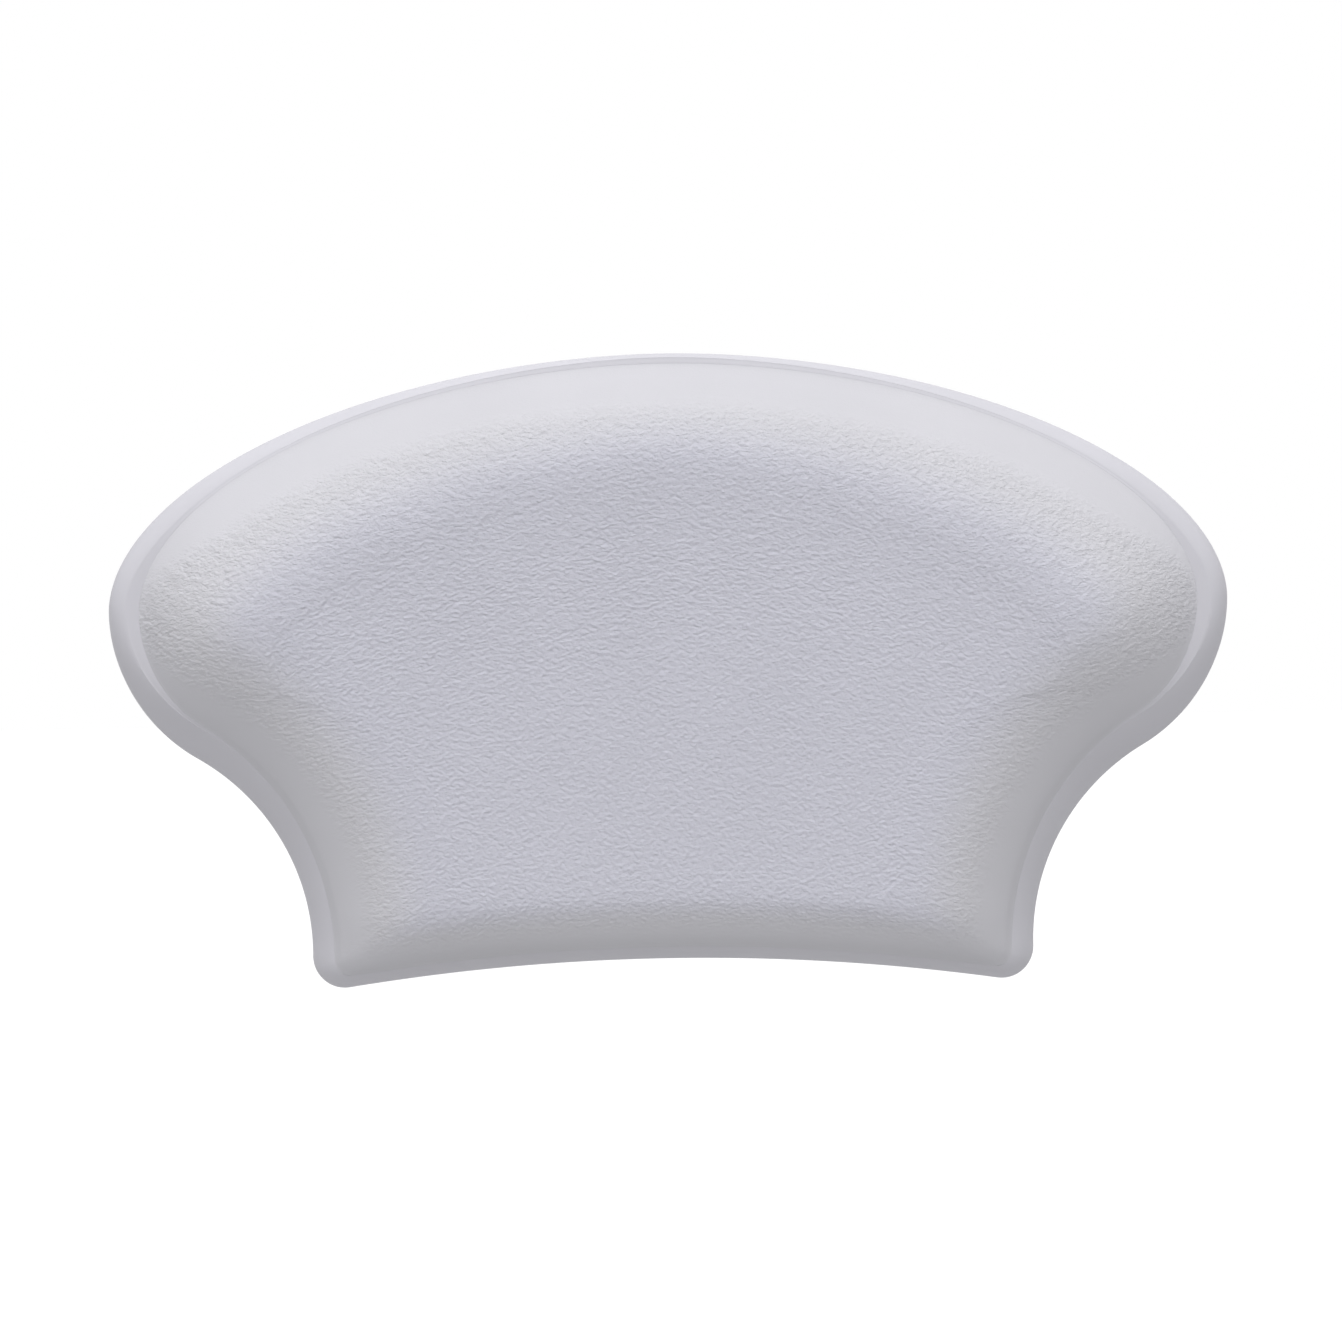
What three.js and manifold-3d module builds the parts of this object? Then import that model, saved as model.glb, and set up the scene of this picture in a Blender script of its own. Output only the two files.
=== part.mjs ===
// Hot tub headrest: a cradle-shaped foam pad with a grained skin, set in a moulded back tray whose rolled
// rim shows all round it. A ribbed plate inside carries four snap pins that push into the tub's shell.
//
// Millimetres, +Z up. The seat plane, which lies against the tub, is Y = 0, the face looks along -Y,
// and the origin is on the seat plane, midway up and across. A depth is a distance in front of it.
import * as THREE from "three";
import { mergeVertices } from "three/addons/utils/BufferGeometryUtils.js";
import Module from "manifold-3d";

const wasm = await Module();
wasm.setup();

// Outline of the rim, seen from the front
const width = 280; // across the two lobes
const crownRise = 63; // from the widest line up to the crown
const crownPower = 1.89; // superellipse power of the crown curve, 2 is an ellipse
const baseDrop = 94.7; // from the widest line down to the lower corners
const lobeRadius = 42.5; // underside of each lobe
const baseWidth = 181; // across the foot, below the drawn-in waist
const flankLength = 0.5; // straight side between waist and lower corner
const cornerRadius = 8;
const footRise = 6.2; // how far the foot edge arches up in the middle

// Back tray
const rimHeight = 20; // seat plane to the top of the rolled rim
const trayFloor = 5; // thickness of the floor
const seatEdgeInset = 4; // the back edge rounds in by this much
const seatEdgeDepth = 5; // over this depth
const rimRollDepth = 8; // the rim starts to roll over this far below its top
const grooveDepth = 0.8; // groove between rim and pad, below the rim's top
const rimAtCrown = 3; // width of the rim that shows, by place
const rimAtLobe = 8.4;
const rimAtBase = 6.2;
const rimAtFoot = 3.6;
const grooveCornerRadius = 4;

// Pad: from the groove the face rolls up to a crest line, and inside that line it is a shallow cradle
const midRise = 14.2; // groove to crest, halfway across
const wingRise = 19.5; // groove to crest, at the side tips of the crest line
const rollPower = 2.2; // how the roll-off flattens towards the crest, 2 is a parabola
const crestAtCrown = 25; // from the groove in to the crest, by place
const crestAtLobe = 31;
const crestAtBase = 27;
const crestAtFoot = 14.5;
const crestLineDrop = 11.65; // the crest line is widest this far below the rim's widest line
const crestLobeRadius = 12;
const crestCornerRadius = 10.5;
const crestFootRise = 1.6;
const skinThickness = 2;

// Stiffener plate
const plateWeb = 2.5;
const ribDepth = 2.5; // ribs stand on the tray floor
const ribWidth = 2.4;
const keyHoleDiameter = 12; // foam keys through these
const keyHolePitch = 22;
const keyHoleMargin = 4; // least web between a hole and a rib, boss or edge

// Snap pins, in two rows
const upperPinPitch = 170;
const lowerPinPitch = 110;
const pinRowPitch = 70;
const collarDiameter = 20;
const collarThickness = 2;
const spigotDiameter = 10;
const bossWall = 3;
const neckDiameter = 8;
const shellThickness = 6.5; // tub shell that the pin snaps through
const barbDiameter = 10.6;
const barbLand = 1.2;
const barbLength = 9.5;
const tipDiameter = 5.6;
const slotWidth = 1.8;

// Screws and washers
const screwDiameter = 4;
const screwGrip = 9.4; // length of thread inside the pin
const screwHeadDiameter = 8;
const screwHeadHeight = 2.6;
const washerDiameter = 12;
const washerThickness = 1;

const clearance = 0.3; // between neighbouring pieces
const aboutRound = 20; // facets of a turned piece

// Heights that follow from the sizes above
const halfWidth = width / 2;
const halfHeight = (crownRise + baseDrop) / 2;
const wideLine = halfHeight - crownRise;
const grooveLevel = rimHeight - grooveDepth;
const ribBottom = trayFloor + clearance;
const webBack = ribBottom + ribDepth;
const webFront = webBack + plateWeb;
const collarRecess = collarThickness + 2 * clearance;
const spigotEnd = webBack - clearance;
const screwLevel = webFront + clearance;

// Booleans

function toSolid(geometry) {
  const bare = geometry.clone();
  bare.deleteAttribute("normal");
  bare.deleteAttribute("uv");
  const merged = mergeVertices(bare, 1e-4);
  return new wasm.Manifold(
    new wasm.Mesh({
      numProp: 3,
      vertProperties: merged.attributes.position.array,
      triVerts: new Uint32Array(merged.index.array),
    }),
  );
}

function toGeometry(solid) {
  const mesh = solid.getMesh();
  const geometry = new THREE.BufferGeometry();
  geometry.setAttribute("position", new THREE.BufferAttribute(mesh.vertProperties, 3));
  geometry.setIndex(new THREE.BufferAttribute(mesh.triVerts, 1));
  geometry.computeVertexNormals();
  return geometry;
}

function cut(geometry, tools) {
  return toGeometry(tools.reduce((solid, tool) => solid.subtract(toSolid(tool)), toSolid(geometry)));
}

function join(geometries) {
  return toGeometry(geometries.map(toSolid).reduce((a, b) => a.add(b)));
}

// Outlines

// Points of an arc, without its first point.
function arc(centreX, centreZ, radius, from, to, steps) {
  const points = [];
  for (let i = 1; i <= steps; i++) {
    const angle = from + ((to - from) * i) / steps;
    points.push(new THREE.Vector2(centreX + radius * Math.cos(angle), centreZ + radius * Math.sin(angle)));
  }
  return points;
}

// Crown curve from the middle of the top to the widest point, and the angle at which the lobe takes over.
function ovalCrown({ half, top, line }) {
  const steps = 12;
  const points = [];
  for (let i = 0; i <= steps; i++) {
    const angle = ((Math.PI / 2) * (steps - i)) / steps;
    const across = Math.max(0, Math.cos(angle)) ** (2 / crownPower);
    const up = Math.sin(angle) ** (2 / crownPower);
    points.push(new THREE.Vector2(half * across, line + (top - line) * up));
  }
  return { points, lobeStart: 0 };
}

// The same as one arc that runs tangent into the lobe.
function arcCrown({ half, top, line, lobe }) {
  const rise = top - line;
  const radius = ((half - lobe) ** 2 + rise ** 2 - lobe ** 2) / (2 * (rise - lobe));
  const lobeStart = Math.atan2(radius - rise, half - lobe);
  const points = [new THREE.Vector2(0, top), ...arc(0, top - radius, radius, Math.PI / 2, lobeStart, 12)];
  return { points, lobeStart };
}

// Closed fan outline, clockwise from the crown as the face is seen: a crown, round lobes, a hollow
// waist, straight flanks, round corners and an arched foot, each tangent to the next.
function fanOutline(sizes) {
  const { half, line, lobe, base, bottom, corner, foot, crown } = sizes;
  const { points, lobeStart } = crown(sizes);
  // The waist is an arc tangent to the lobe and to the flank.
  const waistEnd = bottom + corner + flankLength;
  const step = half - base;
  const waist = ((line - waistEnd) ** 2 / step + step - 2 * lobe) / 2;
  const turn = Math.atan2(line - waistEnd, base + waist - (half - lobe));
  const right = [...points];
  right.push(...arc(half - lobe, line, lobe, lobeStart, -turn, 5));
  right.push(...arc(base + waist, waistEnd, waist, Math.PI - turn, Math.PI, 6));
  right.push(new THREE.Vector2(base, bottom + corner));
  // The foot is an arc about a point below, tangent to both corners.
  const footRadius = ((base - corner) ** 2 + foot ** 2) / (2 * foot) - corner;
  const lean = Math.asin((base - corner) / (footRadius + corner));
  const footCentre = bottom + foot - footRadius;
  right.push(...arc(base - corner, bottom + corner, corner, 0, -Math.PI / 2 - lean, 3));
  right.push(...arc(0, footCentre, footRadius, Math.PI / 2 - lean, Math.PI / 2, 5));
  const left = right
    .slice(1, -1)
    .reverse()
    .map((p) => new THREE.Vector2(-p.x, p.y));
  return [...right, ...left];
}

// The sizes of an outline drawn in by a different amount at each place.
function drawnIn(sizes, { crown, lobe, base, foot }) {
  return {
    ...sizes,
    half: sizes.half - lobe,
    top: sizes.top - crown,
    lobe: sizes.lobe - lobe,
    base: sizes.base - base,
    bottom: sizes.bottom + foot,
  };
}

function evenly(inset) {
  return { crown: inset, lobe: inset, base: inset, foot: inset };
}

const rimSizes = {
  half: halfWidth,
  top: halfHeight,
  line: wideLine,
  lobe: lobeRadius,
  base: baseWidth / 2,
  bottom: -halfHeight,
  corner: cornerRadius,
  foot: footRise,
  crown: ovalCrown,
};
const rimWidths = { crown: rimAtCrown, lobe: rimAtLobe, base: rimAtBase, foot: rimAtFoot };
const grooveSizes = { ...drawnIn(rimSizes, rimWidths), corner: grooveCornerRadius };
const rollWidths = { crown: crestAtCrown, lobe: crestAtLobe, base: crestAtBase, foot: crestAtFoot };
const crestSizes = {
  ...drawnIn(grooveSizes, rollWidths),
  line: wideLine - crestLineDrop,
  lobe: crestLobeRadius,
  corner: crestCornerRadius,
  foot: crestFootRise,
  crown: arcCrown,
};

// The groove outline drawn in evenly, for the layers inside the tray.
function layerOutline(inset) {
  return fanOutline(drawnIn(grooveSizes, evenly(inset)));
}

const rimOutline = fanOutline(rimSizes);
const grooveOutline = fanOutline(grooveSizes);
const crestOutline = fanOutline(crestSizes);

// Lofts

function between(outlineA, outlineB, share) {
  return outlineA.map((p, i) => p.clone().lerp(outlineB[i], share));
}

function ring(outline, depth) {
  return outline.map((p) => new THREE.Vector3(p.x, -depth, p.y));
}

// Closed skin through a row of rings, from a point in the middle of the first to one in the last. The
// row sets out from a surface that looks backward and comes in on one that looks forward. Each four-sided
// patch is split along its shorter diagonal, so layers that follow each other keep their distance.
function loft(firstPole, rings, lastPole) {
  const count = rings[0].length;
  const points = [firstPole, ...rings.flat(), lastPole];
  const last = points.length - 1;
  const index = [];
  for (let i = 0; i < count; i++) {
    const next = (i + 1) % count;
    index.push(0, 1 + i, 1 + next);
    for (let r = 0; r < rings.length - 1; r++) {
      const here = 1 + r * count;
      const there = here + count;
      const rising = points[here + i].distanceTo(points[there + next]);
      const falling = points[here + next].distanceTo(points[there + i]);
      if (rising < falling) {
        index.push(here + i, there + i, there + next);
        index.push(here + i, there + next, here + next);
      } else {
        index.push(here + i, there + i, here + next);
        index.push(here + next, there + i, there + next);
      }
    }
    const end = 1 + (rings.length - 1) * count;
    index.push(last, end + next, end + i);
  }
  const geometry = new THREE.BufferGeometry().setFromPoints(points);
  geometry.setIndex(index);
  geometry.computeVertexNormals();
  return geometry;
}

function pole(depth) {
  return new THREE.Vector3(0, -depth, 0);
}

// Share of the crest's height reached at a share of the way in from the groove to the crest.
function rollShape(share) {
  return 1 - (1 - share) ** rollPower;
}

// Height of the face over the groove, on and inside the crest line.
function cradleRise(x) {
  return midRise + (wingRise - midRise) * (x / crestSizes.half) ** 2;
}

function onFace(point, rise, inset) {
  return new THREE.Vector3(point.x, -(grooveLevel + rise - inset), point.y);
}

// Rings of the face from near its middle out to the groove, at an inset below and inside the skin.
function faceRings(inset, rollShares) {
  const insideScales = [0.35, 0.7]; // rings inside the crest line, as shares of it
  const inside = insideScales.map((scale) =>
    crestOutline.map((p) => onFace(p.clone().multiplyScalar(scale), cradleRise(p.x * scale), inset)),
  );
  const edge = layerOutline(clearance + inset);
  const roll = rollShares.map((share) =>
    between(edge, crestOutline, share).map((p, i) =>
      onFace(p, cradleRise(crestOutline[i].x) * rollShape(share), inset),
    ),
  );
  return [...inside, ...roll];
}

function facePole(inset) {
  return pole(grooveLevel + midRise - inset);
}

// Flat slab of an outline, between two depths.
function slab(outline, from, to) {
  const options = { depth: to - from, bevelEnabled: false };
  const geometry = new THREE.ExtrudeGeometry(new THREE.Shape(outline), options);
  return geometry.rotateX(Math.PI / 2).translate(0, -from, 0);
}

// Solid turned about Y: a row of [radius, depth] that starts and ends on the axis, back to front.
function turned(profile) {
  const points = profile.map(([radius, depth]) => new THREE.Vector2(radius, -depth));
  return new THREE.LatheGeometry(points.reverse(), aboutRound);
}

function rod(diameter, from, to) {
  const radius = diameter / 2;
  return turned([
    [0, from],
    [radius, from],
    [radius, to],
    [0, to],
  ]);
}

// Where the pins stand

const pinStations = [
  { place: "upper_left", x: -upperPinPitch / 2, z: pinRowPitch / 2 },
  { place: "upper_right", x: upperPinPitch / 2, z: pinRowPitch / 2 },
  { place: "lower_left", x: -lowerPinPitch / 2, z: -pinRowPitch / 2 },
  { place: "lower_right", x: lowerPinPitch / 2, z: -pinRowPitch / 2 },
];

function atStations(geometry) {
  return pinStations.map(({ x, z }) => geometry.clone().translate(x, 0, z));
}

// Pieces

function backTray() {
  const seat = fanOutline(drawnIn(rimSizes, evenly(seatEdgeInset)));
  const edge = [0, Math.PI / 6, Math.PI / 3, Math.PI / 2].map((angle) =>
    ring(between(seat, rimOutline, Math.sin(angle)), seatEdgeDepth * (1 - Math.cos(angle))),
  );
  const rollStart = rimHeight - rimRollDepth;
  const rollWidth = 0.62; // share of the rim's width that rolls over, the rest is its flat top
  const roll = [0, Math.PI / 8, Math.PI / 4, (3 * Math.PI) / 8, Math.PI / 2].map((angle) =>
    ring(
      between(rimOutline, grooveOutline, rollWidth * (1 - Math.cos(angle))),
      rollStart + rimRollDepth * Math.sin(angle),
    ),
  );
  const lipShare = 0.9; // where the rim's top turns down into the groove
  const lip = ring(between(rimOutline, grooveOutline, lipShare), rimHeight - grooveDepth / 6);
  const cavity = [ring(grooveOutline, grooveLevel), ring(grooveOutline, trayFloor)];
  const shell = loft(pole(0), [...edge, ...roll, lip, ...cavity], pole(trayFloor));
  const recess = rod(collarDiameter + 2 * clearance, -1, collarRecess);
  const hole = rod(spigotDiameter + 2 * clearance, -1, trayFloor + 1);
  return cut(shell, [...atStations(recess), ...atStations(hole)]);
}

function faceSkin() {
  const inner = faceRings(skinThickness, [1, 0.6, 0.35, 0.15, 0]);
  const outer = faceRings(0, [1, 0.75, 0.55, 0.38, 0.24, 0.11, 0]).reverse();
  const hemInner = ring(layerOutline(clearance + skinThickness), webFront + clearance);
  const hemOuter = ring(layerOutline(clearance), webFront + clearance);
  return loft(facePole(skinThickness), [...inner, hemInner, hemOuter, ...outer], facePole(0));
}

function foamCore() {
  const inset = skinThickness + clearance;
  const back = webFront + clearance;
  const front = faceRings(inset, [1, 0.6, 0.35, 0.15, 0]).reverse();
  const block = loft(pole(back), [ring(layerOutline(clearance + inset), back), ...front], facePole(inset));
  const headTop = screwLevel + washerThickness + clearance + screwHeadHeight;
  const pocket = rod(washerDiameter + 2 * clearance, back - 1, headTop + clearance);
  return cut(block, atStations(pocket));
}

// Straight rib between two pin stations, standing on the tray floor.
function rib(from, to) {
  const length = Math.hypot(to.x - from.x, to.z - from.z);
  const bar = new THREE.BoxGeometry(length, ribDepth, ribWidth);
  bar.rotateY(-Math.atan2(to.z - from.z, to.x - from.x));
  return bar.translate((from.x + to.x) / 2, -(ribBottom + ribDepth / 2), (from.z + to.z) / 2);
}

function distanceToLine(point, [from, to]) {
  const line = new THREE.Line3(new THREE.Vector3(from.x, 0, from.z), new THREE.Vector3(to.x, 0, to.z));
  return line.closestPointToPoint(point, true, new THREE.Vector3()).distanceTo(point);
}

// Centres of the keying holes: a square grid, less those too near a rib, a boss or the plate's edge.
function keyHoleCentres(outline, ribEnds, bossDiameter) {
  const room = keyHoleDiameter / 2 + keyHoleMargin;
  const corners = outline.map((p) => ({ x: p.x, z: p.y }));
  const edges = corners.map((corner, i) => [corner, corners[(i + 1) % corners.length]]);
  const columns = Math.floor(halfWidth / keyHolePitch);
  const rows = Math.floor(halfHeight / keyHolePitch);
  const centres = [];
  for (let column = -columns; column <= columns; column++) {
    for (let row = -rows; row <= rows; row++) {
      const centre = new THREE.Vector3(column * keyHolePitch, 0, row * keyHolePitch);
      const clearOfEdge = edges.every((ends) => distanceToLine(centre, ends) > room + ribWidth);
      const clearOfRibs = ribEnds.every((ends) => distanceToLine(centre, ends) > room + ribWidth / 2);
      const clearOfBosses = pinStations.every(
        ({ x, z }) => Math.hypot(centre.x - x, centre.z - z) > room + bossDiameter / 2,
      );
      if (isInside(edges, centre) && clearOfEdge && clearOfRibs && clearOfBosses) centres.push(centre);
    }
  }
  return centres;
}

// Whether a point is inside a closed row of edges: a line from it along X crosses an odd number.
function isInside(edges, point) {
  const crossed = edges.filter(([a, b]) => {
    const reaches = a.z > point.z !== b.z > point.z;
    return reaches && point.x < a.x + ((point.z - a.z) * (b.x - a.x)) / (b.z - a.z);
  });
  return crossed.length % 2 === 1;
}

function stiffenerPlate() {
  const outline = layerOutline(clearance);
  const web = slab(outline, webBack, webFront);
  const inside = slab(layerOutline(clearance + ribWidth), ribBottom - 1, webBack);
  const edgeRib = cut(slab(outline, ribBottom, webBack), [inside]);
  const bossDiameter = spigotDiameter + 2 * clearance + 2 * bossWall;
  const bosses = atStations(rod(bossDiameter, ribBottom, webBack));
  const [upperLeft, upperRight, lowerLeft, lowerRight] = pinStations;
  const ribEnds = [
    [upperLeft, upperRight],
    [lowerLeft, lowerRight],
    [upperLeft, lowerLeft],
    [upperRight, lowerRight],
    [upperLeft, lowerRight],
    [upperRight, lowerLeft],
  ];
  const ribs = ribEnds.map(([from, to]) => rib(from, to));
  const keyHoles = keyHoleCentres(outline, ribEnds, bossDiameter).map((centre) =>
    rod(keyHoleDiameter, webBack - 1, webFront + 1).translate(centre.x, 0, centre.z),
  );
  const sockets = atStations(rod(spigotDiameter + 2 * clearance, ribBottom - 1, webBack));
  const screwHoles = atStations(rod(screwDiameter + 2 * clearance, webBack - 1, webFront + 1));
  return cut(join([web, edgeRib, ...bosses, ...ribs]), [...keyHoles, ...sockets, ...screwHoles]);
}

// Snap pin: collar behind the tray floor, spigot forward into the plate, split barb behind the shell.
function snapPin() {
  const collarBack = clearance;
  const collarFront = collarBack + collarThickness;
  const barbStart = -shellThickness;
  const tip = barbStart - barbLength;
  const body = turned([
    [0, tip],
    [tipDiameter / 2, tip],
    [barbDiameter / 2, barbStart - 2 * barbLand],
    [barbDiameter / 2, barbStart - barbLand],
    [neckDiameter / 2, barbStart],
    [neckDiameter / 2, collarBack],
    [collarDiameter / 2, collarBack],
    [collarDiameter / 2, collarFront],
    [spigotDiameter / 2, collarFront],
    [spigotDiameter / 2, spigotEnd],
    [0, spigotEnd],
  ]);
  const pilotEnd = spigotEnd - screwGrip - clearance;
  const pilot = rod(screwDiameter + 2 * clearance, pilotEnd, spigotEnd + 1);
  const slotLength = barbLength + shellThickness / 3;
  const slots = [0, Math.PI / 2].map((turn) =>
    new THREE.BoxGeometry(barbDiameter + 2, slotLength + 1, slotWidth)
      .translate(0, -tip - slotLength / 2 + 0.5, 0)
      .rotateY(turn),
  );
  return cut(body, [pilot, ...slots]);
}

function pinWasher() {
  const inner = screwDiameter / 2 + clearance;
  const outer = washerDiameter / 2;
  const front = screwLevel + washerThickness;
  const section = [
    [inner, screwLevel],
    [outer, screwLevel],
    [outer, front],
    [inner, front],
    [inner, screwLevel],
  ];
  return turned(section);
}

// Pan-head screw from the front of the plate, through the washer and into the pin.
function pinScrew() {
  const headBack = screwLevel + washerThickness + clearance;
  const headFront = headBack + screwHeadHeight;
  const radius = screwDiameter / 2;
  const end = spigotEnd - screwGrip;
  return turned([
    [0, end],
    [radius / 2, end],
    [radius, end + radius],
    [radius, headBack],
    [screwHeadDiameter / 2, headBack],
    [screwHeadDiameter / 2, headBack + screwHeadHeight / 2],
    [screwHeadDiameter / 2 - screwHeadHeight / 3, headFront],
    [0, headFront],
  ]);
}

// Finishes

function finish(color, roughness, metalness) {
  return new THREE.MeshStandardMaterial({ color, roughness, metalness });
}

const paddedSkin = finish("#bfbfc9", 0.62, 0);
const rimFoam = finish("#c4c3cb", 0.55, 0);
const openFoam = finish("#d9d8d2", 0.95, 0);
const platePlastic = finish("#3b3d40", 0.6, 0);
const pinPlastic = finish("#26282a", 0.45, 0);
const steel = finish("#b9bcc0", 0.3, 1);

function piece(name, geometry, material) {
  const mesh = new THREE.Mesh(geometry, material);
  mesh.name = name;
  return mesh;
}

// Assembly

const headrest = new THREE.Group();
headrest.name = "hot_tub_headrest";
headrest.add(piece("back_tray", backTray(), rimFoam));
headrest.add(piece("stiffener_plate", stiffenerPlate(), platePlastic));
headrest.add(piece("foam_core", foamCore(), openFoam));
headrest.add(piece("face_skin", faceSkin(), paddedSkin));

const pinGeometry = snapPin();
const washerGeometry = pinWasher();
const screwGeometry = pinScrew();
for (const { place, x, z } of pinStations) {
  const station = new THREE.Group();
  station.position.set(x, 0, z);
  station.add(piece(`snap_pin_${place}`, pinGeometry, pinPlastic));
  station.add(piece(`pin_washer_${place}`, washerGeometry, steel));
  station.add(piece(`pin_screw_${place}`, screwGeometry, steel));
  headrest.add(station);
}

export default headrest;
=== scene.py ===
import math

import bmesh
import bpy
import numpy as np
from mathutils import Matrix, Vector
from mathutils.geometry import tessellate_polygon
from mathutils.kdtree import KDTree


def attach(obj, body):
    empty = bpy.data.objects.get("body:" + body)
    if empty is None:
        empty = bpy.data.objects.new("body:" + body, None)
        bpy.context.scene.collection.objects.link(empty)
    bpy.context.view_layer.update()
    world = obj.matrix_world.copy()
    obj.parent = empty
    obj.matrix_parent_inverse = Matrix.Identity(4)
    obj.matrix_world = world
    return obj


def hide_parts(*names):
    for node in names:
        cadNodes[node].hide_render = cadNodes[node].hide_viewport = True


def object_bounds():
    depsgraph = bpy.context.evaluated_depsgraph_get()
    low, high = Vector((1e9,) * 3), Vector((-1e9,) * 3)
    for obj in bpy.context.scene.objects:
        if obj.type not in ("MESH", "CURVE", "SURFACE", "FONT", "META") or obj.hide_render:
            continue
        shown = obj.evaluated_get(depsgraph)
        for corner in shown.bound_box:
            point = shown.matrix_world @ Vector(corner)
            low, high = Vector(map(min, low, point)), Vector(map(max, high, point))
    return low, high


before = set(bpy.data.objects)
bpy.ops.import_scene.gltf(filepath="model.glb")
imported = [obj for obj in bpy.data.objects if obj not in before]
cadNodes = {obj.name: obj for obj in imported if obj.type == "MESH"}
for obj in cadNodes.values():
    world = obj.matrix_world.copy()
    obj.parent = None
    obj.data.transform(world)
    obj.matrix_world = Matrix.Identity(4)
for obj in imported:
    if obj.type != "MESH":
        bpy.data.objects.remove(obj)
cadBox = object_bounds()
scene = bpy.context.scene
mm = 0.001
print("frame loaded,", len(cadNodes), "solids")


# the fan outline in millimetres, seen from the front: x across, z up

rimForm = {
    "half": 140.0,  # half the width across the lobes
    "top": 78.85,
    "line": 15.85,  # height of the widest line
    "lobe": 42.5,  # radius below that line
    "base": 90.5,  # half the width of the foot
    "bottom": -78.85,
    "corner": 8.0,  # radius
    "foot": 6.2,  # rise of the foot edge in the middle
    "flank": 0.5,  # straight stretch above the corner
    "power": 1.89,  # of the superellipse crown, 0 makes it an arc
}
grooveIn = {"crown": 3.0, "lobe": 8.4, "base": 6.2, "foot": 3.6}  # from the rim to the groove
crestIn = {"crown": 28.0, "lobe": 34.0, "base": 28.0, "foot": 16.5}  # and on to the mesh's inner ring
rowSteps = {"bend": 64, "crown": 400, "arc": 200, "foot": 120}  # along the parts of the outline


def drawIn(form, crown, lobe, base, foot):
    inner = dict(form)
    inner["half"] -= lobe
    inner["lobe"] -= lobe
    inner["top"] -= crown
    inner["base"] -= base
    inner["bottom"] += foot
    return inner


def drawInEvenly(form, inset):
    return drawIn(form, inset, inset, inset, inset)


grooveForm = drawIn(rimForm, **grooveIn) | {"corner": 4.0}
crestForm = drawIn(grooveForm, **crestIn)
crestForm |= {"line": 4.2, "lobe": 12.0, "corner": 10.5, "foot": 1.6, "power": 0}


def arcRow(x, z, radius, start, end, steps=rowSteps["bend"]):
    angle = np.linspace(start, end, steps + 1)
    return np.stack([x + radius * np.cos(angle), z + radius * np.sin(angle)], axis=1)


def evenRow(points, steps):  # the same row, its points at even steps of length
    step = np.hypot(*np.diff(points, axis=0).T)
    run = np.concatenate([[0.0], np.cumsum(step)])
    at = np.linspace(0.0, run[-1], steps + 1)
    return np.stack([np.interp(at, run, points[:, 0]), np.interp(at, run, points[:, 1])], axis=1)


# right half of the outline in three rows: crown to lobe tip, tip to lower corner, corner to mid foot
def fanRows(form):
    half, line, lobe, top = form["half"], form["line"], form["lobe"], form["top"]
    base, corner, bottom, foot = form["base"], form["corner"], form["bottom"], form["foot"]
    if form["power"]:
        t = np.linspace(math.pi / 2, 0.0, rowSteps["crown"])
        across = np.clip(np.cos(t), 0, 1) ** (2 / form["power"])
        up = np.clip(np.sin(t), 0, 1) ** (2 / form["power"])
        crown = np.stack([half * across, line + (top - line) * up], axis=1)
    else:  # one arc, tangent to the lobe
        rise = top - line
        radius = ((half - lobe) ** 2 + rise**2 - lobe**2) / (2 * (rise - lobe))
        lobeStart = math.atan2(radius - rise, half - lobe)
        crown = arcRow(0, top - radius, radius, math.pi / 2, lobeStart, rowSteps["arc"])
        crown = np.concatenate([crown[:-1], arcRow(half - lobe, line, lobe, lobeStart, 0.0)])
    waistEnd = bottom + corner + form["flank"]
    step = half - base
    waist = ((line - waistEnd) ** 2 / step + step - 2 * lobe) / 2
    turn = math.atan2(line - waistEnd, base + waist - (half - lobe))
    side = [
        arcRow(half - lobe, line, lobe, 0.0, -turn)[:-1],
        arcRow(base + waist, waistEnd, waist, math.pi - turn, math.pi),
        arcRow(base - corner, bottom + corner, corner, 0.0, -math.pi / 4),
    ]
    footRadius = ((base - corner) ** 2 + foot**2) / (2 * foot) - corner
    lean = math.asin((base - corner) / (footRadius + corner))
    footCentre = bottom + foot - footRadius
    footRow = [
        arcRow(base - corner, bottom + corner, corner, -math.pi / 4, -math.pi / 2 - lean)[:-1],
        arcRow(0, footCentre, footRadius, math.pi / 2 - lean, math.pi / 2, rowSteps["foot"]),
    ]
    return crown, np.concatenate(side), np.concatenate(footRow)


# closed ring, clockwise from the left lobe tip: crown, right side, foot, left side
def fanRing(form, across, down):
    crown, side, foot = fanRows(form)
    crown = evenRow(crown, across // 2)
    side = evenRow(side, down)
    foot = evenRow(foot, across // 2)
    flip = np.array([-1.0, 1.0])
    left = [(crown * flip)[:0:-1], (foot * flip)[:0:-1], (side * flip)[:0:-1]]
    return np.concatenate([left[0], crown[:-1], side[:-1], foot[:-1], left[1], left[2]])


# how far along the top, the side or the foot each named place lies
ringPlaces = {"brow": 0.09, "shoulder": 0.2, "lobe": 0.25, "waist": 0.5, "flank": 0.85, "foot": 0.08}
ringBlend = 40  # values are evened over 1/40 of the ring to each side


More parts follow.
